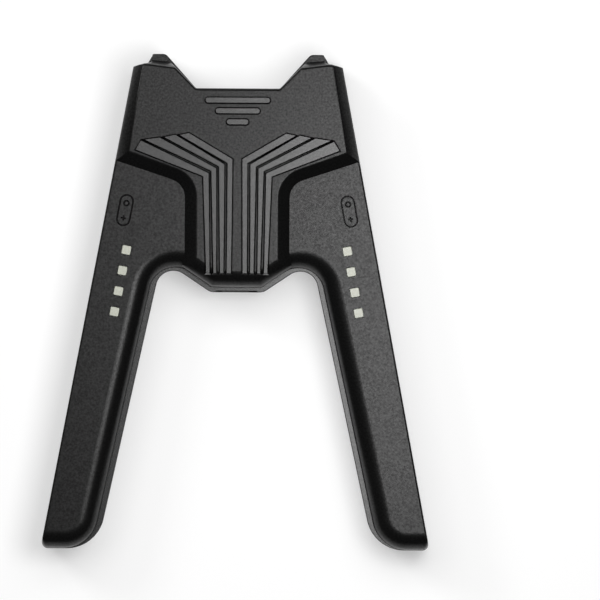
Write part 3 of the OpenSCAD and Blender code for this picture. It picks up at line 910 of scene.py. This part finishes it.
    def inside_edge(self, at: Vector, angle: float, on_left: bool) -> bpy.types.Object:
        """Everything inside the rounded edge that runs through a point.

        Args:
            at: A point of the edge, in millimetres.
            angle: The edge's angle in degrees.
            on_left: Whether it is the left one.

        Returns:
            A long solid with a quarter round along the edge.
        """
        s = self.sizes
        start, foot = s.ledge + self.seam, s.parting + s.platform_rise + 0.05
        profile = [Vector((self.far, s.parting + 1)), Vector((start, s.parting + 1))]
        for a in arc(0, 90, 5):
            reach = start + s.edge_round * (1 - math.cos(a))
            profile.append(Vector((reach, foot + 5.0 * math.sin(a))))
        profile.append(Vector((start + s.edge_round, s.platform_top + 3)))
        profile.append(Vector((self.far, s.platform_top + 3)))
        turn = shift(at.x, at.y) @ Matrix.Rotation(math.radians(angle), 4, "Z")
        turn = turn @ Matrix(((0, 0, 1, 0), (1, 0, 0, 0), (0, 1, 0, 0), (0, 0, 0, 1)))
        if on_left:
            turn = Matrix.Diagonal((-1, 1, 1, 1)) @ turn
        return to_object(placed(prism(profile, -80, 80), turn), "inside_edge")

    def platform(self) -> bpy.types.Object:
        """The raised platform with its shoulders, side chamfers and rounded bottom edge.

        Returns:
            The platform, sunk into the arms' level.
        """
        s = self.sizes
        bm = skin(self.slope_rings())
        bevel_edges(bm, flat_edges(bm, s.platform_top), self.slope_edge, 4)
        obj = to_object(bm, "platform")
        combine(obj, self.end_block(), Cut.INTERSECT)
        combine(obj, self.inside_edge(Vector((0, s.middle_bottom)), 0, False), Cut.INTERSECT)
        for on_left in (False, True):
            edge = self.inside_edge(self.middle_corner, s.middle_rise, on_left)
            combine(obj, edge, Cut.INTERSECT)
        return obj

    def end_block(self) -> bpy.types.Object:
        """Everything inside the top end and the outer sides, rounded at the platform's faces.

        Returns:
            The block.
        """
        s = self.sizes
        corners = [Corner(Vector((x, y - self.end_gap)), r, 6) for x, y, r in self.front_end(0)]
        corners.append(Corner(Vector((s.outer_x(-6), -6)), 0.5, 2))
        kinds = [Edge.TOP_END] * 5 + [Edge.OUTER_SIDE, Edge.FREE]
        block = Outline(corners, kinds)
        # Each level has a height and how far the end and the sides move in there.
        profile = [(s.parting + 1, 0, 0)]
        for z, side in ((-0.8, 0), (-0.4, 0.06), (-0.05, 0.18), (0.3, 0.4), (0.7, 0.72)):
            profile.append((s.arm_top + z, 0, side))
        for z, end, side in (
            (-1.1, 0, 1.29),
            (-0.75, 0.05, 1.58),
            (-0.48, 0.14, 1.74),
            (-0.28, 0.26, 1.88),
            (-0.13, 0.4, 2.0),
            (-0.04, 0.56, 2.06),
            (0, 0.72, 2.1),
            (0.04, 0.95, 2.15),
        ):
            profile.append((s.platform_top + z, end, side))
        rings = [block.ring(z, (end, self.end_gap + side, 0.0)) for z, end, side in profile]
        return to_object(skin(rings), "end_block")

    def core(self) -> bpy.types.Object:
        """The hollow under the platform.

        Returns:
            The hollow as a solid to cut away.
        """
        s = self.sizes
        grow = -1.2
        half = [
            Vector((s.notch_half - 1.4, s.notch_floor - s.wall)),
            Vector((17, 59.6)),
            Vector((22, 60.4)),
            Vector((s.shoulder_half - 4, s.shoulder_height + 2)),
            *self.fan_turn(grow),
            Vector((s.spine_half + grow, s.middle_bottom + s.ledge + s.edge_round + 1.4)),
        ]
        bm = prism(mirrored(half), s.arm_top - s.wall - 1, s.platform_top - s.wall)
        return to_object(bm, "core")

    def rib(self, plan: tuple[Point, ...]) -> bmesh.types.BMesh:
        """One fan rib of the right side, with leaning sides and a rounded top edge.

        Args:
            plan: Its six corners in millimetres. A height of 0 stands for the ribs' foot.

        Returns:
            The rib as a bmesh, sunk a little into the platform.
        """
        s = self.sizes
        pts = moved_in([Vector((x, y if y else s.rib_foot)) for x, y in plan], -self.rib_grow)
        top, edge = s.platform_top + s.rib_rise, self.rib_bevel
        profile = [(s.platform_top - self.sunk, -self.rib_draft)]
        for i in range(5):
            a = math.radians(22.5 * i)
            profile.append((top - edge * (1 - math.sin(a)), edge * (1 - math.cos(a))))
        return skin([raised(moved_in(pts, d), z) for z, d in profile])

    def bar(self, length: float, y: float) -> bmesh.types.BMesh:
        """One raised bar with round ends and a rounded top edge.

        Args:
            length: Its length.
            y: The height of its middle line on the part.

        Returns:
            The bar as a bmesh, sunk a little into the platform.
        """
        s = self.sizes
        full, edge = s.bar_width / 2, self.bar_edge
        steps = [(-self.sunk, full)]
        for a in arc(0, 90, 15):
            steps.append((s.rib_rise * math.sin(a), full - edge * (1 - math.cos(a))))
        reach, at = length / 2 - full, (0.0, y)
        return skin([self.pill(r, reach, at, True, s.platform_top + z) for z, r in steps])

    def ornament(self) -> bpy.types.Object:
        """The fan ribs and the three bars, as islands sunk into the platform.

        Returns:
            One object with all of them.
        """
        parts = []
        for plan in self.rib_plans:
            for side in (1, -1):
                bm = self.rib(plan)
                if side < 0:
                    placed(bm, Matrix.Diagonal((-1, 1, 1, 1)))
                parts.append(to_object(bm, "rib"))
        for length, y in zip(self.bar_lengths, self.bar_heights, strict=True):
            parts.append(to_object(self.bar(length, y), "bar"))
        return join(parts, "ornament")

    def arm_cuts(self, front: bool) -> list[bpy.types.Object]:
        """Solids to cut out of a cover on both arms.

        Args:
            front: True for the front cover, which also has windows.

        Returns:
            The cutting solids.
        """
        s = self.sizes
        tools = []
        low, high = s.rail_middle - s.rail_height / 2, s.rail_middle + s.rail_height / 2
        rail = box_plan(-s.rail_depth - self.seam, 3, -s.rail_length - self.seam, 12)
        for side in (1, -1):
            solids = [prism(rail, low - self.seam, high + self.seam)]
            for i in range(s.windows if front else 0):
                x, y = -s.window_inset, -(s.window_start + s.window_pitch * i)
                r = s.window / 2 + self.window_play
                bm = prism(box_plan(x - r, x + r, y - r, y + r), s.parting, s.arm_top + 1)
                bevel_edges(bm, upright_edges(bm), self.window_round, 3)
                solids.append(bm)
            tools += [to_object(placed(bm, s.arm_matrix(side)), "cut") for bm in solids]
        return tools

    def recess(self) -> list[bpy.types.Object]:
        """The oval recess round the charging socket and the slot in the ledge over it.

        Returns:
            The cutting solids.
        """
        s = self.sizes
        r, reach, back = self.recess_radius, self.recess_reach, s.middle_bottom + self.recess_depth
        oval = [Vector((reach + r * math.cos(t), r * math.sin(t))) for t in arc(90, -90, -10)]
        turn = shift(0, back, self.recess_height) @ Matrix.Rotation(math.radians(90), 4, "X")
        bm = placed(prism(mirrored(oval), 0, 8), turn)
        front, half = s.middle_bottom, self.slot_half
        plan = box_plan(-half, half, front - 1, front + self.slot_depth)
        slot = prism(plan, self.recess_height, s.parting + 4)
        return [to_object(bm, "recess"), to_object(slot, "slot")]

    @staticmethod
    def pill(radius: float, reach: float, at: Point, along_x: bool, z: float) -> list[Vector]:
        """A bar with round ends, as one ring of points in metres.

        Args:
            radius: Half its width.
            reach: Distance from its middle to the centre of each end.
            at: Its middle.
            along_x: Whether it lies along X.
            z: Height of the ring.

        Returns:
            The ring.
        """
        turns = arc(0, 180, 12)
        half = [Vector((radius * math.cos(t), reach + radius * math.sin(t))) for t in turns]
        pts = half + [-p for p in half]
        if along_x:
            return [Vector((at[0] - p.y, at[1] + p.x, z)) * MM for p in pts]
        return [Vector((at[0] + p.x, at[1] + p.y, z)) * MM for p in pts]

    def sign(self, side: int) -> list[bpy.types.Object]:
        """Cutting solids for a plain game pad sign on one arm: an outline, a stick and a cross.

        Args:
            side: 1 for the right arm, -1 for the left.

        Returns:
            The cutting solids, each with a section that narrows downwards.
        """
        top, half, deep, over = self.sizes.arm_top, self.sign_width / 2, self.sign_depth, 0.2
        more = half * over / deep
        tools = []
        for stroke in self.sign_strokes:
            place = stroke.reach, (0.0, stroke.y), stroke.along_x
            mid = stroke.radius - half
            rings = [self.pill(mid + 0.02, *place, top - deep)]
            rings.append(self.pill(stroke.radius + more, *place, top + over))
            tool = to_object(skin(rings), "stroke")
            if stroke.outline_only:
                rings = [self.pill(mid - 0.02 + more / 2, *place, top - deep - over / 2)]
                rings.append(self.pill(mid - half - more * 1.5, *place, top + over * 1.5))
                combine(tool, to_object(skin(rings), "stroke_inside"), Cut.DIFFERENCE)
            tool.data.transform(self.sign_place(side))
            if side < 0:
                tool.data.flip_normals()
            tools.append(tool)
        return tools

    def sign_place(self, side: int) -> Matrix:
        """The place of one arm's sign."""
        return self.sizes.arm_matrix(side) @ shift(*self.sign_at)

    def dress_sign(self, obj: bpy.types.Object, side: int) -> None:
        """Gives the grooves of one arm's sign the second finish.

        Args:
            obj: The front cover.
            side: 1 for the right arm, -1 for the left.
        """
        back = self.sign_place(side).inverted()
        reach_x, reach_y = self.sign_reach
        low = self.sizes.arm_top - 0.5
        for f in obj.data.polygons:
            p = back @ f.center
            within = abs(p.x) < reach_x * MM and abs(p.y) < reach_y * MM and p.z > low * MM
            if within and f.normal.z < 0.98:
                f.material_index = 1

    def front_cover(
        self, matte: bpy.types.Material, satin: bpy.types.Material
    ) -> list[bpy.types.Object]:
        """The front cover.

        Args:
            matte: Finish of the skin.
            satin: Finish of the ribs, the bars and the sign's grooves.

        Returns:
            The finished skin and ornament.
        """
        obj = self.front_shell()
        combine(obj, self.platform(), Cut.UNION)
        combine(obj, self.core(), Cut.DIFFERENCE)
        tools = [*self.arm_cuts(front=True), *self.sign(1), *self.sign(-1), *self.recess()]
        for tool in tools:
            combine(obj, tool, Cut.DIFFERENCE)
        resmooth(obj)
        obj.name = "front_cover_skin"
        obj.data.name = "front_cover_skin"
        dress(obj, matte, satin)
        for side in (1, -1):
            self.dress_sign(obj, side)
        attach(obj, "root")
        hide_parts("front_cover")
        ribs = self.ornament()
        ribs.name = "front_cover_ornament"
        dress(ribs, satin)
        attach(ribs, "root")
        return [obj, ribs]

    def rear_rings(self) -> list[list[Vector]]:
        """Rings of the rear cover, up its outside and down its inside.

        Returns:
            The rings.
        """
        s = self.sizes
        out = self.outline(self.rear_end(), self.arm_corners(0))
        inner = self.inside()
        rings = []
        for t in arc(0, 90, 5):
            z = self.back_height * (1 - math.cos(t))
            free = self.back_reach * (1 - math.sin(t)) ** self.back_power
            top = self.back_end * max(0.0, 1 - z / self.back_end_height) ** 2
            rings.append(out.ring(z, (top, 0.8 * top, free, free)))
        for z, top, free, tip in (
            (12.4, 0, 0, 0),
            (14.7, 0, 0, 0),
            (14.82, 0.04, 0.02, 0.02),
            (14.92, 0.13, 0.06, 0.05),
            (14.98, 0.26, 0.12, 0.09),
            (s.parting, 0.4, 0.2, 0.13),
        ):
            rings.append(out.ring(z, (top, 0.0, free, tip)))
        for z, free in ((s.parting, 3.35), (6.0, 3.6), (s.wall, 6.2)):
            rings.append(inner.ring(z, (s.wall, s.rail_back, free, free)))
        return rings

    def screw_pockets(self) -> list[bpy.types.Object]:
        """The round pockets in the back over the case screws.

        Returns:
            The cutting solids.
        """
        tools = []
        radius = self.pocket_radius * MM
        for x, y in self.pockets:
            for side in (1, -1):
                bm = bmesh.new()
                bmesh.ops.create_cone(
                    bm,
                    cap_ends=True,
                    segments=48,
                    radius1=radius,
                    radius2=radius,
                    depth=self.pocket_length * MM,
                    matrix=shift(side * x, y, self.pocket_middle),
                )
                tools.append(to_object(bm, "pocket"))
        return tools

    def rear_cover(
        self, matte: bpy.types.Material, satin: bpy.types.Material
    ) -> bpy.types.Object:
        """The rear cover, whose edge stands out round the front cover.

        Args:
            matte: Finish of the skin.
            satin: Finish of the edge that stands out.

        Returns:
            The finished piece.
        """
        obj = to_object(skin(self.rear_rings()), "rear_cover_skin")
        for tool in [*self.arm_cuts(front=False), *self.recess(), *self.screw_pockets()]:
            combine(obj, tool, Cut.DIFFERENCE)
        resmooth(obj)
        dress(obj, matte, satin)
        low, high_y = self.satin_low * MM, self.satin_high_y * MM
        for f in obj.data.polygons:
            if f.center.z > low and f.normal.z > 0.3 and f.center.y < high_y:
                f.material_index = 1
        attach(obj, "root")
        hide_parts("rear_cover")
        return obj


@dataclass
class LightGuide:
    """The milky guide of one arm, with a square post in each window, in millimetres."""

    sizes: GripSizes
    side: int
    post: float = 2.34
    post_round: float = 0.34
    post_edge: float = 0.1
    plate: float = 1.4
    plate_more: float = 0.6

    def build(self, finish: bpy.types.Material) -> bpy.types.Object:
        """Builds and dresses the guide.

        Args:
            finish: Its material.

        Returns:
            The finished piece.
        """
        s = self.sizes
        name = "right_light_guide" if self.side > 0 else "left_light_guide"
        top, far = s.arm_top - s.wall, s.window_start + s.window_pitch * (s.windows - 1)
        x, more = -s.window_inset, self.plate_more
        reach = s.window / 2 + more
        plan = box_plan(x - reach, x + reach, -far - reach - more, -s.window_start + reach + more)
        parts = [prism(plan, top - self.plate, top)]
        for i in range(s.windows):
            y, r = -(s.window_start + s.window_pitch * i), self.post / 2
            bm = prism(box_plan(x - r, x + r, y - r, y + r), top - 0.2, s.arm_top)
            bevel_edges(bm, upright_edges(bm), self.post_round, 5)
            bevel_edges(bm, flat_edges(bm, s.arm_top), self.post_edge, 2)
            parts.append(bm)
        made = [to_object(placed(bm, s.arm_matrix(self.side)), "part") for bm in parts]
        obj = join(made, name + "_milky")
        dress(obj, finish)
        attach(obj, "root")
        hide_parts(name)
        return obj


@dataclass
class Insides:
    """The pieces that keep their CAD shape and get a finish."""

    nodes: dict[str, bpy.types.Object]

    def finish(self) -> None:
        """Dresses each kept node."""
        boards = ["main_board"]
        for side in ("left", "right"):
            boards += [side + "_contact_board", side + "_light_board"]
        sets: list[tuple[Finish, list[str]]] = [
            (RAIL_NYLON, ["left_rail", "right_rail", "left_plug", "right_plug"]),
            (GOLD, ["left_plug_contacts", "right_plug_contacts"]),
            (SOLDER_MASK, boards),
            (DIODE, ["left_lights", "right_lights"]),
            (NICKEL, ["socket_shell", "board_screws", "rail_screws", "case_screws"]),
            (EPOXY, ["socket_tongue", "charge_chip", "power_coil"]),
            (CERAMIC, ["board_capacitors"]),
            (FILM, ["ribbon_sockets", "left_ribbon", "right_ribbon"]),
        ]
        for finish, names in sets:
            mat = finish.material()
            for name in names:
                dress(self.nodes[name], mat)
                log.info("%s: %s", name, finish.name)


# Stage


@dataclass(frozen=True)
class Softbox:
    """A lamp: its place and its two sides in metres, and its power in watts."""

    name: str
    at: tuple[float, float, float]
    size: tuple[float, float]
    watts: float


@dataclass
class Stage:
    """Camera, lights and floor."""

    frame_mm: float = 159.15
    aim: Point = (16.79, 0.62)
    distance: float = 3.0
    roll: float = 0.00655
    plane_mm: float = 15.0
    sensor_mm: float = 36.0
    floor_half: float = 3.0
    floor_mm: float = -0.2
    floor_white: float = 0.95
    floor_bounce: float = 0.12
    floor_glow: float = 0.42
    room_light: float = 0.06
    lamps: tuple[Softbox, ...] = (
        Softbox("key", (-0.02, 0.36, 1.0), (1.1, 0.6), 7),
        Softbox("overhead", (0.085, 0.0, 0.38), (0.15, 0.15), 0.72),
        Softbox("side", (-0.6, 0.45, 0.6), (0.25, 0.25), 2),
    )

    def camera(self) -> None:
        """A long lens that looks straight down, with the object left of the middle."""
        data = bpy.data.cameras.new("camera")
        data.sensor_width = self.sensor_mm
        data.lens = self.sensor_mm * self.distance / (self.frame_mm * MM)
        data.clip_end = 20
        cam = linked("camera", data)
        cam.location = (self.aim[0] * MM, self.aim[1] * MM, self.distance + self.plane_mm * MM)
        cam.rotation_euler = (0, 0, self.roll)
        bpy.context.scene.camera = cam

    def floor(self) -> None:
        """A white table. What bounces off it to the object is weaker than what the camera sees."""
        bm = bmesh.new()
        place = shift(0, 0, self.floor_mm)
        bmesh.ops.create_grid(bm, x_segments=1, y_segments=1, size=self.floor_half, matrix=place)
        obj = to_object(bm, "floor")
        mat = bpy.data.materials.new("floor_white")
        mat.use_nodes = True
        tree = mat.node_tree
        tree.nodes.clear()
        path = add_node(tree, "ShaderNodeLightPath").outputs
        seen = path["Is Camera Ray"]
        for other in ("Is Glossy Ray", "Is Transmission Ray"):
            both = add_node(tree, "ShaderNodeMath", {"operation": "ADD", "use_clamp": True})
            tree.links.new(seen, both.inputs[0])
            tree.links.new(path[other], both.inputs[1])
            seen = both.outputs["Value"]
        lit, dim = (
            add_node(tree, "ShaderNodeBsdfDiffuse", {"Color": (v, v, v, 1)}).outputs["BSDF"]
            for v in (self.floor_white, self.floor_bounce)
        )
        glow = add_node(tree, "ShaderNodeEmission", {"Strength": 1.0}).outputs["Emission"]
        table = add_node(tree, "ShaderNodeMixShader", {"Fac": self.floor_glow})
        mix = add_node(tree, "ShaderNodeMixShader", None, {"Fac": seen})
        shown = table.outputs["Shader"]
        for node, first, second in ((table, lit, glow), (mix, dim, shown)):
            tree.links.new(first, node.inputs[1])
            tree.links.new(second, node.inputs[2])
        add_node(tree, "ShaderNodeOutputMaterial", None, {"Surface": mix.outputs["Shader"]})
        dress(obj, mat)

    @staticmethod
    def hang(box: Softbox) -> None:
        """Hangs one softbox so that it faces the object.

        Args:
            box: The lamp.
        """
        data = bpy.data.lights.new(box.name, "AREA")
        data.shape = "RECTANGLE"
        data.size, data.size_y = box.size
        data.energy = box.watts
        obj = linked(box.name, data)
        obj.location = box.at
        obj.rotation_euler = (-Vector(box.at)).to_track_quat("-Z", "Y").to_euler()

    def build(self) -> None:
        """Sets up the whole stage."""
        scene = bpy.context.scene
        self.camera()
        self.floor()
        for box in self.lamps:
            self.hang(box)
        world = bpy.data.worlds.new("room")
        world.use_nodes = True
        back = world.node_tree.nodes["Background"]
        back.inputs["Color"].default_value = (1, 1, 1, 1)
        back.inputs["Strength"].default_value = self.room_light
        scene.world = world
        scene.view_settings.view_transform = "Standard"


def corners(box: tuple[Vector, Vector]) -> list[list[float]]:
    """A box's two corners as plain lists."""
    return [[round(float(c), 6) for c in p] for p in box]


def main() -> None:
    """Builds the grip and its stage in order."""
    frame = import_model()
    sizes = GripSizes()
    matte, satin = ABS_SPARK.material(), ABS_SATIN.material()
    housing = Housing(sizes)
    guide = GUIDE_PC.material()
    made = [*housing.front_cover(matte, satin), housing.rear_cover(matte, satin)]
    made += [LightGuide(sizes, side).build(guide) for side in (-1, 1)]
    for piece in made:
        log.info("%s: %d faces", piece.name, len(piece.data.polygons))
    Insides(frame["nodes"]).finish()
    Stage().build()


if __name__ == "__main__":
    main()
